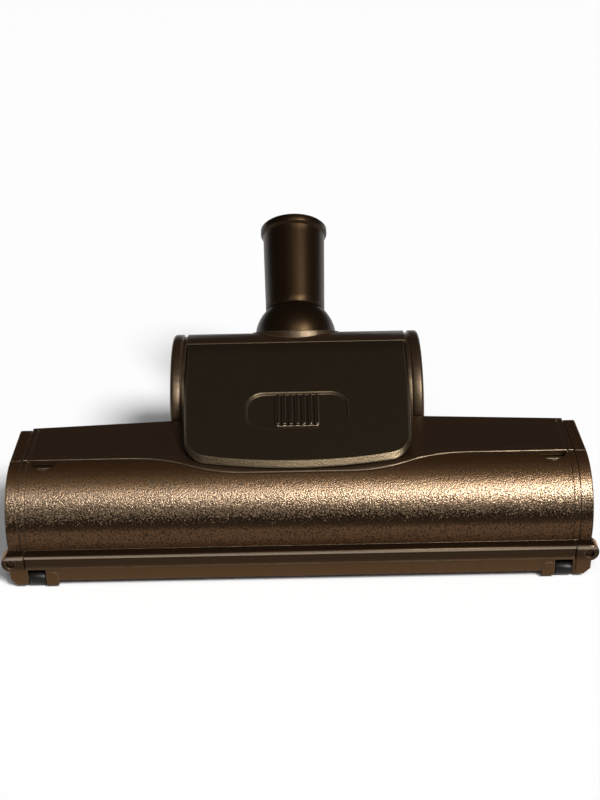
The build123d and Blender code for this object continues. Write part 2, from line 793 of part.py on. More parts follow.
def bumper_strip():
    """Soft strip along the front's lower edge, with lugs for the rollers' inner ends."""
    strip = prism_x(strip_section(), -strip_half, strip_half)
    notch_x0 = roller_x - roller_width / 2 - roller_gap
    strip -= both(block(notch_x0, strip_half, -1, strip_back_y, 0, roller_notch_top))
    lug = block(notch_x0 - lug_width, notch_x0, 0, strip_back_y, lug_bottom_z, lug_top_z)
    lug = fillet(lug.edges().filter_by(Axis.Y).group_by(Axis.Z)[-1], lug_round)
    strip += both(lug)
    return strip - both(rod(roller_axle_radius, 0, strip_half, roller_y, roller_radius))


def corner_buffer():
    """Right-hand corner: a knob with a dimple in front, and the roller's outer lug."""
    x0 = strip_half + buffer_gap
    knob_x = buffer_reach - buffer_knob_radius
    side_x = knob_x + wall / 2
    depth = strip_back_y + wall
    plan = Pos(knob_x, buffer_knob_z) * Circle(buffer_knob_radius)
    upper = Pos((x0 + knob_x) / 2, (strip_bottom_z + strip_top_z) / 2)
    plan += upper * Rectangle(knob_x - x0, strip_top_z - strip_bottom_z)
    lug = Polyline(
        (x0, lug_bottom_z),
        (side_x - buffer_slant, lug_bottom_z),
        (side_x, lug_bottom_z + buffer_slant),
        (side_x, buffer_knob_z),
        (x0, buffer_knob_z),
        close=True,
    )
    plan += make_face(lug)
    buffer = extrude(Plane.XZ * plan, amount=-depth)
    front_edges = buffer.faces().sort_by(Axis.Y)[0].outer_wire().edges()
    buffer = fillet(front_edges, wall / 2)
    lug_x = roller_x + roller_width / 2 + roller_gap
    lug_top = roller_notch_top - buffer_gap
    buffer += block(lug_x, x0 + wall, wall / 2, strip_back_y, lug_bottom_z, lug_top)
    dimple = Pos(knob_x, 0, buffer_knob_z) * Rot(90, 0, 0)
    buffer -= dimple * Cone(buffer_dimple_radius, buffer_dimple_radius / 2, 2 * buffer_dimple_depth)
    buffer -= block(0, nozzle_width / 2, strip_back_y, depth, 0, panel_z)
    return buffer - rod(roller_axle_radius, 0, knob_x, roller_y, roller_radius)


def front_roller():
    """Right-hand roller under the front corner."""
    x0 = roller_x - roller_width / 2
    x1 = roller_x + roller_width / 2
    roller = rod(roller_radius, x0, x1, roller_y, roller_radius)
    return roller - rod(roller_axle_radius + running_gap, x0, x1, roller_y, roller_radius)


def front_axle():
    """Pin of the right-hand roller, from lug to lug."""
    x0 = roller_x - roller_width / 2 - roller_gap - lug_width
    return rod(roller_axle_radius, x0, buffer_reach - buffer_knob_radius, roller_y, roller_radius)


def rear_wheel():
    """Right-hand wheel under the drum, with a rounded tread."""
    x0 = wheel_x - wheel_width / 2
    x1 = wheel_x + wheel_width / 2
    wheel = rod(wheel_radius, x0, x1, wheel_y, wheel_radius)
    wheel = fillet(wheel.edges(), wheel_width / 6)
    return wheel - rod(wheel_axle_radius + running_gap, x0, x1, wheel_y, wheel_radius)


def wheel_axle():
    """Pin of the right-hand wheel, through both ears."""
    reach = wheel_width / 2 + roller_gap + wheel_ear
    return rod(wheel_axle_radius, wheel_x - reach, wheel_x + reach, wheel_y, wheel_radius)


def neck_frame():
    """Plane at the knuckle's middle with its normal along the tube."""
    tilt = radians(neck_rest_deg)
    return Plane(origin=(0, knuckle_y, knuckle_z), x_dir=(1, 0, 0), z_dir=(0, cos(tilt), sin(tilt)))


def turned(outline):
    """Half section, drawn as radius and height, turned about the tube's axis."""
    return neck_frame() * revolve(Plane.XZ * make_face(outline), Axis.Z)


def neck_knuckle():
    """Hollow ball with side pins and the spigot that carries the tube."""
    inner_rim = sqrt(knuckle_radius**2 - knuckle_inner**2)
    outer_rim = sqrt(knuckle_radius**2 - neck_base**2)
    top = neck_base + spigot_length + ring_room
    cavity_radius = knuckle_radius - knuckle_wall
    cavity_end = sqrt(cavity_radius**2 - spigot_bore**2)
    ball = ThreePointArc((inner_rim, -knuckle_inner), (knuckle_radius, 0), (outer_rim, neck_base))
    spigot = Polyline(
        (outer_rim, neck_base),
        (spigot_radius, neck_base),
        (spigot_radius, top),
        (spigot_bore, top),
        (spigot_bore, cavity_end),
    )
    cavity = ThreePointArc((spigot_bore, cavity_end), (cavity_radius, 0), (spigot_bore, -cavity_end))
    rim = Polyline((spigot_bore, -cavity_end), (spigot_bore, -knuckle_inner), (inner_rim, -knuckle_inner))
    ball = turned(ball + spigot + cavity + rim)
    pin_end = knuckle_radius + trunnion_length
    pin = rod(trunnion_radius, knuckle_radius - knuckle_wall / 2, pin_end, knuckle_y, knuckle_z)
    shoulder = neck_base + spigot_length + 2 * axial_gap
    groove = Polyline(
        (spigot_radius - ring_groove, shoulder),
        (spigot_radius + 1, shoulder),
        (spigot_radius + 1, shoulder + ring_thickness),
        (spigot_radius - ring_groove, shoulder + ring_thickness),
        close=True,
    )
    return ball + both(pin) - turned(groove)


def swivel_ring():
    """Snap ring in the spigot's groove that keeps the tube on."""
    shoulder = neck_base + spigot_length + 2 * axial_gap
    section = Polyline(
        (spigot_radius - ring_groove, shoulder),
        (ring_radius, shoulder),
        (ring_radius, shoulder + ring_thickness),
        (spigot_radius - ring_groove, shoulder + ring_thickness),
        close=True,
    )
    return turned(section)


def swivel_tube():
    """Tapered tube with a lip; the wand goes into its wide bore."""
    low = neck_base + axial_gap
    shoulder = neck_base + spigot_length + axial_gap
    seat = shoulder + ring_room
    top = neck_base + tube_length
    lip = top - tube_lip_length
    section = Polyline(
        (spigot_radius + running_gap, low),
        (tube_base_radius, low),
        (tube_mouth_radius, lip - tube_lip_round),
        (tube_lip_radius, lip),
        (tube_lip_radius, top - tube_lip_round),
        (tube_lip_radius - tube_lip_round, top),
        (wand_radius, top),
        (wand_radius, seat),
        (ring_radius + ring_gap, seat),
        (ring_radius + ring_gap, shoulder),
        (spigot_radius + running_gap, shoulder),
        close=True,
    )
    return turned(section)


def base_screws():
    """Screws that hold the lower housing to the upper one."""
    heads = columns(screw_head_radius, sole_z, sole_z + screw_head_height)
    return heads + columns(screw_radius, sole_z, sole_z + screw_length)


tufts = bristle_tufts()
nodes = {
    "upper_housing": upper_housing(),
    "lower_housing": lower_housing(),
    "front_hood": front_hood(),
    "turbine_cover": turbine_cover(),
    "bumper_strip": bumper_strip(),
    "base_screws": base_screws(),
    "slide_grip": slide_grip(),
    "slide_plate": slide_plate(),
    "brush_core": brush_core(tufts),
    "bristle_tufts": Compound(children=tufts),
    "brush_pulley": pulley(brush_pulley_radius, core_radius, brush_y, brush_z),
    "drive_belt": drive_belt(),
    "turbine_wheel": turbine_wheel(),
    "turbine_shaft": rod(shaft_radius, -drum_inner_half, drum_inner_half, turbine_y, turbine_z),
    "turbine_pulley": pulley(turbine_pulley_radius, shaft_radius, turbine_y, turbine_z),
    "neck_knuckle": neck_knuckle(),
    "swivel_ring": swivel_ring(),
    "swivel_tube": swivel_tube(),
}

pairs = {
    "end_cap": end_cap(),
    "turbine_cheek": turbine_cheek(),
    "corner_buffer": corner_buffer(),
    "hood_lock": hood_lock(),
    "brush_bush": brush_bush(),
    "turbine_bush": turbine_bush(),
    "front_roller": front_roller(),
    "front_axle": front_axle(),
    "rear_wheel": rear_wheel(),
    "wheel_axle": wheel_axle(),
}
for name, piece in pairs.items():
    nodes["right_" + name] = piece
    nodes["left_" + name] = mirrored(piece)

tube_box = nodes["swivel_tube"].bounding_box()
strip_box = nodes["bumper_strip"].bounding_box()
depth_middle = (tube_box.max.Y + strip_box.min.Y) / 2

os.makedirs("parts", exist_ok=True)
for name, piece in nodes.items():
    export_step(Pos(0, -depth_middle, 0) * piece, os.path.join("parts", name + ".step"))
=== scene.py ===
"""Looks of an air-driven vacuum floor brush head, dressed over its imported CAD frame, in metres."""

import random
from math import cos, pi, radians, sin, sqrt

import bmesh
import bpy
from mathutils import Matrix, Vector


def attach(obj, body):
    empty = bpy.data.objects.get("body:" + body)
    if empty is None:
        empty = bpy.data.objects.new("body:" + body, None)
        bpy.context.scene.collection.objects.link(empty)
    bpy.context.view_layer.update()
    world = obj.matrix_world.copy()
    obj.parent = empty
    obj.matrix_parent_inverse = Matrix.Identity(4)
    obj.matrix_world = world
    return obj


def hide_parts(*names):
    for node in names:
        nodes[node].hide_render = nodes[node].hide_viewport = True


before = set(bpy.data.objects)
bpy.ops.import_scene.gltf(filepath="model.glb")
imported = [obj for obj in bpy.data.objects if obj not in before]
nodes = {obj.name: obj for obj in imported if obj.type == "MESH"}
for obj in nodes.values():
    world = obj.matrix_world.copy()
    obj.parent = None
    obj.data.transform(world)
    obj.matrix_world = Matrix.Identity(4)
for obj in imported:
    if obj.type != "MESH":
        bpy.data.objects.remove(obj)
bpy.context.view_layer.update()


# Lower housing: the sole plate with its suction mouth and the lower half of the turbine drum.
# One injection moulding in brown-black ABS, spark-eroded outside, held by four screws from below.

def node_group(name, inputs, outputs):
    """Empty shader group with named sockets; returns the group with its two end nodes."""
    group = bpy.data.node_groups.new(name, "ShaderNodeTree")
    for label, kind, default in inputs:
        socket = group.interface.new_socket(label, in_out="INPUT", socket_type=kind)
        socket.default_value = default
    for label, kind in outputs:
        group.interface.new_socket(label, in_out="OUTPUT", socket_type=kind)
    return group, group.nodes.new("NodeGroupInput"), group.nodes.new("NodeGroupOutput")


def place_node(tree, kind, settings=(), links=()):
    """Adds a node, sets its properties and sockets, and links sockets of other nodes into it."""
    node = tree.nodes.new(kind)
    for label, value in settings:
        if isinstance(label, str) and hasattr(node, label):
            setattr(node, label, value)
        else:
            node.inputs[label].default_value = value
    for label, source in links:
        tree.links.new(source, node.inputs[label])
    return node


# Places of the sockets for colours on a mix node, where names don't tell them apart.
first_colour, second_colour, mixed_colour = 6, 7, 2


def moulded_grain_group():
    """Spark-eroded skin of a moulding: fine pits, slow mottling of its colour, uneven gloss."""
    bead_blend = 0.6
    bead_height = 0.6
    clouds_per_metre = 38
    group, start, end = node_group(
        "moulded_grain",
        [
            ("Colour", "NodeSocketColor", (0.04, 0.03, 0.02, 1)),
            ("Mottle Colour", "NodeSocketColor", (0.05, 0.04, 0.03, 1)),
            ("Grains per Metre", "NodeSocketFloat", 1600),
            ("Roughness", "NodeSocketFloat", 0.45),
            ("Gloss Spread", "NodeSocketFloat", 0.2),
        ],
        [
            ("Colour", "NodeSocketColor"),
            ("Roughness", "NodeSocketFloat"),
            ("Height", "NodeSocketFloat"),
        ],
    )
    where = place_node(group, "ShaderNodeTexCoord").outputs["Object"]
    pits = place_node(
        group,
        "ShaderNodeTexNoise",
        [("Detail", 3), ("Roughness", 0.6)],
        [("Vector", where), ("Scale", start.outputs["Grains per Metre"])],
    )
    beads = place_node(
        group,
        "ShaderNodeTexVoronoi",
        [("feature", "SMOOTH_F1"), ("Smoothness", bead_blend)],
        [("Vector", where), ("Scale", start.outputs["Grains per Metre"])],
    )
    centred = place_node(
        group,
        "ShaderNodeMath",
        [("operation", "SUBTRACT"), (1, 0.5)],
        [(0, pits.outputs["Fac"])],
    )
    height = place_node(
        group,
        "ShaderNodeMath",
        [("operation", "MULTIPLY_ADD"), (1, bead_height)],
        [(0, beads.outputs["Distance"]), (2, centred.outputs[0])],
    )
    cloud = place_node(
        group,
        "ShaderNodeTexNoise",
        [("Scale", clouds_per_metre), ("Detail", 4)],
        [("Vector", where)],
    )
    colour = place_node(
        group,
        "ShaderNodeMix",
        [("data_type", "RGBA")],
        [
            (0, cloud.outputs["Fac"]),
            (first_colour, start.outputs["Colour"]),
            (second_colour, start.outputs["Mottle Colour"]),
        ],
    )
    roughness = place_node(
        group,
        "ShaderNodeMath",
        [("operation", "MULTIPLY_ADD"), ("use_clamp", True)],
        [
            (0, centred.outputs[0]),
            (1, start.outputs["Gloss Spread"]),
            (2, start.outputs["Roughness"]),
        ],
    )
    group.links.new(colour.outputs[mixed_colour], end.inputs["Colour"])
    group.links.new(roughness.outputs[0], end.inputs["Roughness"])
    group.links.new(height.outputs[0], end.inputs["Height"])
    return group


def edge_rub_group():
    """Rounded edges, and a mask of where use has rubbed them smooth and pale, most in front."""
    flat_likeness = 0.99
    sharp_likeness = 0.85
    breaks_per_metre = 220
    front_y, front_share = -0.02, 1.0
    rear_y, rear_share = 0.005, 0.3
    group, start, end = node_group(
        "edge_rub",
        [("Reach", "NodeSocketFloat", 0.0008), ("Amount", "NodeSocketFloat", 1.0)],
        [("Mask", "NodeSocketFloat"), ("Normal", "NodeSocketVector")],
    )
    rounded = place_node(
        group, "ShaderNodeBevel", [("samples", 6)], [("Radius", start.outputs["Reach"])]
    )
    true_normal = place_node(group, "ShaderNodeNewGeometry").outputs["Normal"]
    likeness = place_node(
        group,
        "ShaderNodeVectorMath",
        [("operation", "DOT_PRODUCT")],
        [(0, rounded.outputs[0]), (1, true_normal)],
    )
    edge = place_node(
        group,
        "ShaderNodeMapRange",
        [("From Min", flat_likeness), ("From Max", sharp_likeness)],
        [("Value", likeness.outputs["Value"])],
    )
    where = place_node(group, "ShaderNodeTexCoord").outputs["Object"]
    breaks = place_node(
        group,
        "ShaderNodeTexNoise",
        [("Scale", breaks_per_metre), ("Detail", 3)],
        [("Vector", where)],
    )
    broken = place_node(
        group,
        "ShaderNodeMath",
        [("operation", "MULTIPLY")],
        [(0, edge.outputs[0]), (1, breaks.outputs["Fac"])],
    )
    axes = place_node(group, "ShaderNodeSeparateXYZ", [], [(0, where)])
    front = place_node(
        group,
        "ShaderNodeMapRange",
        [
            ("From Min", front_y),
            ("From Max", rear_y),
            ("To Min", front_share),
            ("To Max", rear_share),
        ],
        [("Value", axes.outputs["Y"])],
    )
    used = place_node(
        group,
        "ShaderNodeMath",
        [("operation", "MULTIPLY")],
        [(0, broken.outputs[0]), (1, front.outputs[0])],
    )
    amount = place_node(
        group,
        "ShaderNodeMath",
        [("operation", "MULTIPLY"), ("use_clamp", True)],
        [(0, used.outputs[0]), (1, start.outputs["Amount"])],
    )
    group.links.new(amount.outputs[0], end.inputs["Mask"])
    group.links.new(rounded.outputs[0], end.inputs["Normal"])
    return group


moulded_grain = moulded_grain_group()
edge_rub = edge_rub_group()


def moulded_plastic(
    name,
    *,
    rubbed,
    grain,
    depth,
    roughness,
    spread,
    rub,
    colour=(0.01, 0.005, 0.002),
    mottle=(0.01, 0.005, 0.002),
    reach=0.8,
    specular=0.3,
    tint=(1, 1, 1),
):
    """Material of a grained moulding with rubbed edges; grain, depth and reach are in millimetres.

    Spread is how uneven the gloss is, rub how worn the edges are and rubbed their colour. Colour
    and mottle are left out where a scale of colours takes their place.
    """
    polish_gain = 2.0
    material = bpy.data.materials.new(name)
    material.use_nodes = True
    tree = material.node_tree
    shader = tree.nodes["Principled BSDF"]
    skin = place_node(
        tree,
        "ShaderNodeGroup",
        [
            ("node_tree", moulded_grain),
            ("Colour", (*colour, 1)),
            ("Mottle Colour", (*mottle, 1)),
            ("Grains per Metre", 1000 / grain),
            ("Roughness", roughness),
            ("Gloss Spread", spread),
        ],
    )
    rubbing = place_node(
        tree,
        "ShaderNodeGroup",
        [("node_tree", edge_rub), ("Reach", reach / 1000), ("Amount", rub)],
    )
    worn = place_node(
        tree,
        "ShaderNodeMix",
        [("data_type", "RGBA"), (second_colour, (*rubbed, 1))],
        [(0, rubbing.outputs["Mask"]), (first_colour, skin.outputs["Colour"])],
    )
    polish = place_node(
        tree,
        "ShaderNodeMath",
        [("operation", "MULTIPLY"), (1, polish_gain), ("use_clamp", True)],
        [(0, rubbing.outputs["Mask"])],
    )
    bump = place_node(
        tree,
        "ShaderNodeBump",
        [("Strength", 1.0), ("Distance", depth / 1000)],
        [("Height", skin.outputs["Height"]), ("Normal", rubbing.outputs["Normal"])],
    )
    tree.links.new(worn.outputs[mixed_colour], shader.inputs["Base Color"])
    tree.links.new(skin.outputs["Roughness"], shader.inputs["Roughness"])
    tree.links.new(polish.outputs[0], shader.inputs["Metallic"])
    tree.links.new(bump.outputs["Normal"], shader.inputs["Normal"])
    shader.inputs["Specular IOR Level"].default_value = specular
    shader.inputs["Specular Tint"].default_value = (*tint, 1)
    return material


def dress(material, *names, edge=0.25, level=False):
    """Gives CAD nodes a material and breaks their sharp edges by a radius in millimetres.

    Level keeps wide smooth faces free of streaks from the small faces round them.
    """
    weld_distance = 0.00001
    sharp_angle = radians(35)
    for name in names:
        piece = nodes[name]
        piece.data.materials.clear()
        piece.data.materials.append(material)
        weld = piece.modifiers.new("joined_corners", "WELD")
        weld.merge_threshold = weld_distance
        rounding = piece.modifiers.new("broken_edges", "BEVEL")
        rounding.width = edge / 1000
        rounding.segments = 2
        rounding.limit_method = "ANGLE"
        rounding.angle_limit = sharp_angle
        rounding.harden_normals = True
        if level:
            piece.modifiers.new("level_faces", "WEIGHTED_NORMAL").keep_sharp = True


body_plastic = moulded_plastic(
    "body_plastic",
    colour=(0.0125, 0.0058, 0.0024),
    mottle=(0.0165, 0.0078, 0.0034),
    rubbed=(0.4, 0.3, 0.2),
    grain=0.7,
    depth=0.07,
    roughness=0.35,
    spread=0.25,
    rub=1.6,
    specular=0.85,
    tint=(1, 0.74, 0.48),
)
dress(body_plastic, "lower_housing")


# Base screws: four plated steel screws with round heads, turned up from below into the columns
# of the upper housing.

def turned_metal(name, colour, roughness):
    """Bright steel with fine turning marks round the X axis."""
    marks_per_metre = (9000, 600, 600)
    dark_share = 0.75
    gloss_spread = 0.2
    dark_colour = [channel * dark_share for channel in colour]
    material = bpy.data.materials.new(name)
    material.use_nodes = True
    tree = material.node_tree
    shader = tree.nodes["Principled BSDF"]
    where = place_node(tree, "ShaderNodeTexCoord").outputs["Object"]
    stretched = place_node(
        tree, "ShaderNodeMapping", [("Scale", marks_per_metre)], [("Vector", where)]
    )
    marks = place_node(
        tree,
        "ShaderNodeTexNoise",
        [("Scale", 1), ("Detail", 3)],
        [("Vector", stretched.outputs[0])],
    )
    tone = place_node(
        tree,
        "ShaderNodeMix",
        [
            ("data_type", "RGBA"),
            (first_colour, (*dark_colour, 1)),
            (second_colour, (*colour, 1)),
        ],
        [(0, marks.outputs["Fac"])],
    )
    gloss = place_node(
        tree,
        "ShaderNodeMapRange",
        [("To Min", roughness), ("To Max", roughness + gloss_spread)],
        [("Value", marks.outputs["Fac"])],
    )
    tree.links.new(tone.outputs[mixed_colour], shader.inputs["Base Color"])
    tree.links.new(gloss.outputs[0], shader.inputs["Roughness"])
    shader.inputs["Metallic"].default_value = 1
    return material


steel = turned_metal("steel", colour=(0.62, 0.61, 0.6), roughness=0.25)
dress(steel, "base_screws", edge=0.15)


# Turbine: a wheel of twelve swept blades on a steel shaft, with two plain bearings and the small
# belt pulley. The air stream turns it; wheel, pulley and bearings are uncoloured acetal.

acetal = moulded_plastic(
    "natural_acetal",
    colour=(0.52, 0.5, 0.45),
    mottle=(0.47, 0.45, 0.4),
    rubbed=(0.6, 0.58, 0.53),
    grain=0.3,
    depth=0.01,
    roughness=0.38,
    spread=0.15,
    rub=0.4,
)
dress(acetal, "turbine_wheel", edge=0.15)
dress(acetal, "turbine_pulley", "left_turbine_bush", "right_turbine_bush", edge=0.2)
dress(steel, "turbine_shaft", edge=0.2)


# Drive belt: a flat moulded rubber loop from the turbine pulley to the brush pulley. Matt black,
# with only a little wear on its edges.

rubber = moulded_plastic(
    "belt_rubber",
    colour=(0.014, 0.014, 0.014),
    mottle=(0.022, 0.021, 0.02),
    rubbed=(0.05, 0.05, 0.05),
    grain=0.5,
    depth=0.02,
    roughness=0.62,
    spread=0.2,
    rub=0.5,
)
dress(rubber, "drive_belt", edge=0.2)


# Brush roller: a moulded core with end flanges and stub shafts, its pulley and two bearings.
# The core is dark grey plastic, the pulley and the bearings are acetal.

core_plastic = moulded_plastic(
    "roller_plastic",
    colour=(0.02, 0.02, 0.021),
    mottle=(0.028, 0.028, 0.029),
    rubbed=(0.09, 0.09, 0.09),
    grain=0.5,
    depth=0.02,
    roughness=0.42,
    spread=0.2,
    rub=0.6,
)
dress(core_plastic, "brush_core", edge=0.3)
dress(acetal, "brush_pulley", "left_brush_bush", "right_brush_bush", edge=0.2)


# Bristle tufts: bundles of stiff nylon fibre stapled into the core's holes, in two spiral rows
# that leave the belt's pulley free. The fibres splay a little, and end a little unevenly where
# they are cut.

bristle = moulded_plastic(
    "bristle_nylon",
    colour=(0.035, 0.03, 0.027),
    mottle=(0.06, 0.052, 0.045),
    rubbed=(0.1, 0.09, 0.08),
    grain=0.4,
    depth=0.01,
    roughness=0.4,
    spread=0.2,
    rub=0.2,
)
brush_axis = Vector((0, -0.066166, 0.0251))
along_axis = Vector((1, 0, 0))
tufts_each_side = 12
tuft_pitch = 0.0094
tuft_twist = radians(14)
tuft_radius = 0.0019
belt_x = 0.048
belt_free = 0.0067
fibres_per_tuft = 34
fibre_root = 0.0076
fibre_tip = 0.0242
fibre_radius = 0.00028
fibre_sides = 5
root_splay = 0.75
tip_splay = 1.1
cut_spread = 0.0009
corners = []
faces = []
random.seed(7)
for step in range(-tufts_each_side, tufts_each_side + 1):
    if abs(step * tuft_pitch - belt_x) <= belt_free:
        continue
    for row in (0, pi):
        turn = row + abs(step) * tuft_twist
        outward = Vector((0, -sin(turn), cos(turn)))
        across = Vector((0, cos(turn), sin(turn)))
        middle = brush_axis + along_axis * step * tuft_pitch
        for _ in range(fibres_per_tuft):
            side = random.uniform(0, 2 * pi)
            sideways = along_axis * cos(side) + across * sin(side)
            off = sideways * tuft_radius * sqrt(random.random())
            length = fibre_tip - random.uniform(0, cut_spread)
            root = middle + outward * fibre_root + off * root_splay
            tip = middle + outward * length + off * tip_splay
            first = len(corners)
            for centre in (root, tip):
                for corner in range(fibre_sides):
                    swing = 2 * pi * corner / fibre_sides
                    spoke = along_axis * cos(swing) + across * sin(swing)
                    corners.append(centre + spoke * fibre_radius)
            top = first + fibre_sides
            for corner in range(fibre_sides):
                beside = (corner + 1) % fibre_sides
                faces.append((first + corner, first + beside, top + beside, top + corner))
            faces.append(tuple(range(top, top + fibre_sides)))
fibre_data = bpy.data.meshes.new("bristle_fibres")
fibre_data.from_pydata(corners, [], faces)
fibre_data.materials.append(bristle)
fibres = bpy.data.objects.new("bristle_fibres", fibre_data)
bpy.context.collection.objects.link(fibres)
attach(fibres, "brush")
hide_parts("bristle_tufts")


# Upper housing: the rear panel, the upper half of the drum and the socket of the neck, moulded
# in one in the same plastic as the lower housing.

dress(body_plastic, "upper_housing", edge=0.3)


# Front hood: the round front over the brush, in warm brown plastic with a coarse, sparkling
# spark-eroded grain. Its colour is painted by the slope of its face, for the light that falls on it:
# a painted floor reflection in brown at the foot, then painted shade, then bronze flake as a painted
# highlight, and dark brown on top, where its rear edge meets the panel in a seam.

def graded(material, *, space, low, high, grain, lean, glint, stops):
    """Lays a scale of colours up a material, from low to high in Z, broken up by its grain.

    Its colours are painted light and shade: each stop is a place from 0 to 1 with a colour, whose
    alpha is the share of metal flake that gives a painted sheen. Lean lifts the scale where X is
    far from zero, as on faces that look sideways, and glint is how much the single flakes differ in
    brightness.
    """
    dull_height = 0.1
    bright_height = 0.58
    tree = material.node_tree
    shader = tree.nodes["Principled BSDF"]
    worn = shader.inputs["Base Color"].links[0].from_node
    skin = worn.inputs[first_colour].links[0].from_node
    polish = shader.inputs["Metallic"].links[0].from_socket
    where = place_node(tree, "ShaderNodeTexCoord").outputs[space]
    axes = place_node(tree, "ShaderNodeSeparateXYZ", [], [(0, where)])
    climb = place_node(
        tree,
        "ShaderNodeMapRange",
        [("From Min", low), ("From Max", high)],
        [("Value", axes.outputs["Z"])],
    )
    sideways = place_node(
        tree, "ShaderNodeMath", [("operation", "ABSOLUTE")], [(0, axes.outputs["X"])]
    )
    lifted = place_node(
        tree,
        "ShaderNodeMath",
        [("operation", "MULTIPLY_ADD"), (1, lean)],
        [(0, sideways.outputs[0]), (2, climb.outputs[0])],
    )
    speckle = place_node(
        tree,
        "ShaderNodeMath",
        [("operation", "MULTIPLY_ADD"), (1, grain)],
        [(0, skin.outputs["Height"]), (2, lifted.outputs[0])],
    )
    # The scale of painted light and shade, set by height or slope.
    scale = place_node(tree, "ShaderNodeValToRGB", [], [("Fac", speckle.outputs[0])])
    for position, tone in stops[1:-1]:
        scale.color_ramp.elements.new(position).color = tone
    scale.color_ramp.elements[0].color = stops[0][1]
    scale.color_ramp.elements[-1].color = stops[-1][1]
    # Metal share for the scale's painted sheen, or for the polished edges.
    painted_sheen_and_polish = place_node(
        tree,
        "ShaderNodeMath",
        [("operation", "MAXIMUM")],
        [(0, scale.outputs["Alpha"]), (1, polish)],
    )
    flake_light = place_node(
        tree,
        "ShaderNodeMapRange",
        [
            ("From Min", dull_height),
            ("From Max", bright_height),
            ("To Min", 1 - glint),
            ("To Max", 1 + glint),
        ],
        [("Value", skin.outputs["Height"])],
    )
    sparkle = place_node(
        tree,
        "ShaderNodeMix",
        [("data_type", "RGBA"), ("blend_type", "MULTIPLY"), (0, 1.0), ("clamp_result", False)],
        [(first_colour, scale.outputs["Color"]), (second_colour, flake_light.outputs[0])],
    )
    tree.links.new(sparkle.outputs[mixed_colour], worn.inputs[first_colour])
    tree.links.new(painted_sheen_and_polish.outputs[0], shader.inputs["Metallic"])


hood_plastic = moulded_plastic(
    "hood_plastic",
    rubbed=(0.3, 0.23, 0.16),
    grain=0.68,
    depth=0.16,
    roughness=0.23,
    spread=0.3,
    rub=0.6,
    reach=0.35,
    specular=0.15,
    tint=(1, 0.7, 0.42),
)
graded(
    hood_plastic,
    space="Normal",
    low=0.13,
    high=1.13,
    grain=0.5,
    lean=0.2,
    glint=0.72,
    # From the foot up: painted floor reflection, painted shade, painted highlight in bronze flake,
    # dark top.
    stops=[
        (0, (0.165, 0.081, 0.0375, 0)),
        (0.1, (0.125, 0.062, 0.029, 0)),
        (0.2, (0.011, 0.0056, 0.0026, 0)),
        (0.36, (0.0095, 0.005, 0.0025, 0.1)),
        (0.56, (0.185, 0.126, 0.078, 0.75)),
        (0.74, (0.29, 0.21, 0.142, 0.85)),
        (0.86, (0.2, 0.112, 0.052, 0.7)),
        (0.94, (0.05, 0.023, 0.0098, 0.2)),
        (1, (0.02, 0.0095, 0.0045, 0)),
    ],
)
dress(hood_plastic, "front_hood", edge=0.4, level=True)


# End caps: the two ends of the nozzle, in the hood's plastic, with a fine groove at the joint.
# They carry the hood's round on to the sides and close it there.

dress(hood_plastic, "left_end_cap", "right_end_cap", edge=0.3, level=True)


# Turbine cover: the flat sloping lid over belt and air duct, near black, with a bevelled rim and
# the recess of the slide. It snaps on between the drum's two rims.

cover_plastic = moulded_plastic(
    "cover_plastic",
    colour=(0.0036, 0.0018, 0.0008),
    mottle=(0.005, 0.0026, 0.0012),
    rubbed=(0.4, 0.3, 0.2),
    grain=0.7,
    depth=0.12,
    roughness=0.32,
    spread=0.25,
    rub=1.0,
    specular=1.0,
    tint=(1, 0.75, 0.45),
)
cover_plastic.node_tree.nodes["Principled BSDF"].inputs["IOR"].default_value = 1.6
dress(cover_plastic, "turbine_cover", edge=0.35, level=True)


# Hood locks: discs at the seam, half under the panel's edge, in the cover's near-black plastic.
# Each has a small slot, and a quarter turn of both frees the hood.

dress(cover_plastic, "left_hood_lock", "right_hood_lock", edge=0.35)


# Slide: the ribbed grip in the recess and the plate under the cover that it carries. Fingers have
# rubbed the grip's ribs paler than the cover's edges.

grip_plastic = moulded_plastic(
    "grip_plastic",
    colour=(0.0036, 0.0018, 0.0008),
    mottle=(0.005, 0.0026, 0.0012),
    rubbed=(0.62, 0.5, 0.37),
    grain=0.7,
    depth=0.05,
    roughness=0.32,
    spread=0.25,
    rub=3.0,
    reach=0.3,
    specular=1.0,
    tint=(1, 0.75, 0.45),
)
dress(grip_plastic, "slide_grip", edge=0.3)
dress(body_plastic, "slide_plate", edge=0.2)


# Turbine cheeks: the round covers on the drum's two sides, in the housing's plastic. They are
# pressed on from outside and hide the bearings of the turbine.

dress(body_plastic, "left_turbine_cheek", "right_turbine_cheek", edge=0.3)


# Bumper strip and corner buffers: smooth, slightly glossy trim along the front's lower edge. The
# colours are painted by height for the light on it: a painted floor reflection in brown below,
# painted shade above, and a painted highlight on the bead near the top.

bumper_plastic = moulded_plastic(
    "bumper_plastic",
    rubbed=(0.4, 0.3, 0.2),
    grain=0.8,
    depth=0.012,
    roughness=0.22,
    spread=0.15,
    rub=0.25,
    specular=0.22,
    tint=(1, 0.6, 0.3),
)
graded(
    bumper_plastic,
    space="Object",
    low=0.004,
    high=0.019,
    grain=0.02,
    lean=0,
    glint=0.1,
    # From the bottom up: painted floor reflection, painted shade, painted highlight on the bead,
    # dark top.
    stops=[
        (0, (0.05, 0.025, 0.0105, 0)),
        (0.4, (0.042, 0.021, 0.009, 0)),
        (0.6, (0.009, 0.0046, 0.0022, 0)),
        (0.84, (0.012, 0.0062, 0.003, 0)),
        (0.89, (0.24, 0.185, 0.135, 0.8)),
        (0.965, (0.24, 0.185, 0.135, 0.8)),
        (0.985, (0.012, 0.0062, 0.003, 0)),
        (1, (0.01, 0.005, 0.0025, 0)),
    ],
)
dress(bumper_plastic, "bumper_strip", "left_corner_buffer", "right_corner_buffer", edge=0.35)


# Front rollers: small plain rollers of black plastic on steel pins, behind the bumper's ends.
# They keep the front edge off hard floors.

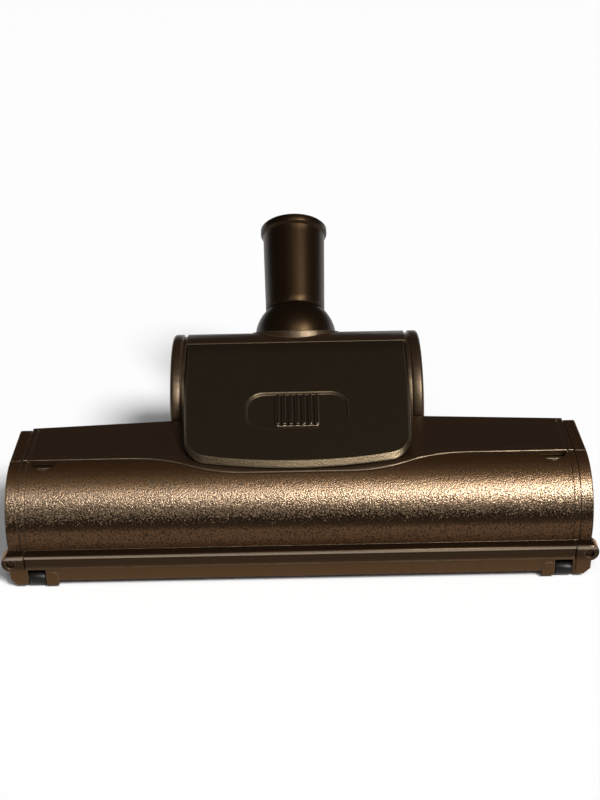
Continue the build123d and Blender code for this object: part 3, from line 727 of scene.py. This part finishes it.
wheel_plastic = moulded_plastic(
    "wheel_plastic",
    colour=(0.0055, 0.0042, 0.0034),
    mottle=(0.008, 0.0062, 0.005),
    rubbed=(0.06, 0.05, 0.042),
    grain=0.5,
    depth=0.02,
    roughness=0.36,
    spread=0.2,
    rub=0.6,
    specular=0.2,
)
dress(wheel_plastic, "left_front_roller", "right_front_roller", edge=0.35)
dress(steel, "left_front_axle", "right_front_axle", edge=0.1)


# Rear wheels: plain wheels on steel pins in the ears under the drum, in the rollers' black
# plastic. They carry the weight of drum and neck.

dress(wheel_plastic, "left_rear_wheel", "right_rear_wheel", edge=0.3)
dress(steel, "left_wheel_axle", "right_wheel_axle", edge=0.15)


# Neck: a hollow knuckle that tilts in its socket and a tapered tube that swivels on it, held by
# a snap ring. Knuckle and tube are smooth satin plastic, the ring is acetal.

neck_plastic = moulded_plastic(
    "neck_plastic",
    colour=(0.0032, 0.0016, 0.0007),
    mottle=(0.0045, 0.0023, 0.001),
    rubbed=(0.3, 0.22, 0.14),
    grain=0.6,
    depth=0.03,
    roughness=0.36,
    spread=0.2,
    rub=1.2,
    specular=0.28,
    tint=(1, 0.6, 0.3),
)
dress(neck_plastic, "neck_knuckle", "swivel_tube", edge=0.35)
dress(acetal, "swivel_ring", edge=0.15)


# Floor: plain white paper, wide enough to fill the view, with the object's own shadow on it.
# It belongs to the studio and not to the object.

floor_half = 40
floor_mesh = bmesh.new()
bmesh.ops.create_grid(floor_mesh, x_segments=1, y_segments=1, size=floor_half)
floor_data = bpy.data.meshes.new("floor")
floor_mesh.to_mesh(floor_data)
floor_mesh.free()
floor = bpy.data.objects.new("floor", floor_data)
bpy.context.collection.objects.link(floor)
paper = bpy.data.materials.new("white_paper")
paper.use_nodes = True
paper_shader = paper.node_tree.nodes["Principled BSDF"]
paper_shader.inputs["Base Color"].default_value = (0.92, 0.92, 0.92, 1)
paper_shader.inputs["Roughness"].default_value = 0.9
paper_shader.inputs["Specular IOR Level"].default_value = 0.1
floor_data.materials.append(paper)


# Room and light: a dim studio, darker behind the object than in front, and two soft lamps high in
# front that draw the long highlight on the hood, the stronger one from the right.

front_reach, front_light = -0.7, 0.19
back_reach, back_light = 0.5, 0.035
world = bpy.data.worlds.new("studio")
world.use_nodes = True
room = world.node_tree
looking = place_node(room, "ShaderNodeTexCoord").outputs["Generated"]
direction = place_node(room, "ShaderNodeSeparateXYZ", [], [(0, looking)])
walls = place_node(
    room,
    "ShaderNodeMapRange",
    [
        ("From Min", front_reach),
        ("From Max", back_reach),
        ("To Min", front_light),
        ("To Max", back_light),
    ],
    [("Value", direction.outputs["Y"])],
)
room.links.new(walls.outputs[0], room.nodes["Background"].inputs["Color"])
room.nodes["Background"].inputs["Strength"].default_value = 1
bpy.context.scene.world = world

for name, strength, spread, shine in (
    ("right_lamp", 3.6, 20, (-0.42, 0.55, -0.72)),
    ("left_lamp", 0.6, 24, (-0.02, 0.6, -0.8)),
):
    lamp_data = bpy.data.lights.new(name, "SUN")
    lamp_data.energy = strength
    lamp_data.angle = radians(spread)
    lamp = bpy.data.objects.new(name, lamp_data)
    lamp.rotation_euler = Vector(shine).to_track_quat("-Z", "Y").to_euler()
    bpy.context.collection.objects.link(lamp)


# Camera: at the photograph's height and angle, rolled a little clockwise, with its lens shifted a
# little to the side.

camera_place = (0, -0.6477, 0.3954)
camera_pitch = radians(62)
camera_roll = radians(-1.15)
camera_data = bpy.data.cameras.new("camera")
camera_data.lens = 59.54
camera_data.shift_x = 0.00375
camera = bpy.data.objects.new("camera", camera_data)
camera.matrix_world = (
    Matrix.Translation(camera_place)
    @ Matrix.Rotation(camera_pitch, 4, "X")
    @ Matrix.Rotation(camera_roll, 4, "Z")
)
bpy.context.collection.objects.link(camera)
bpy.context.scene.camera = camera
bpy.context.scene.view_settings.view_transform = "Standard"
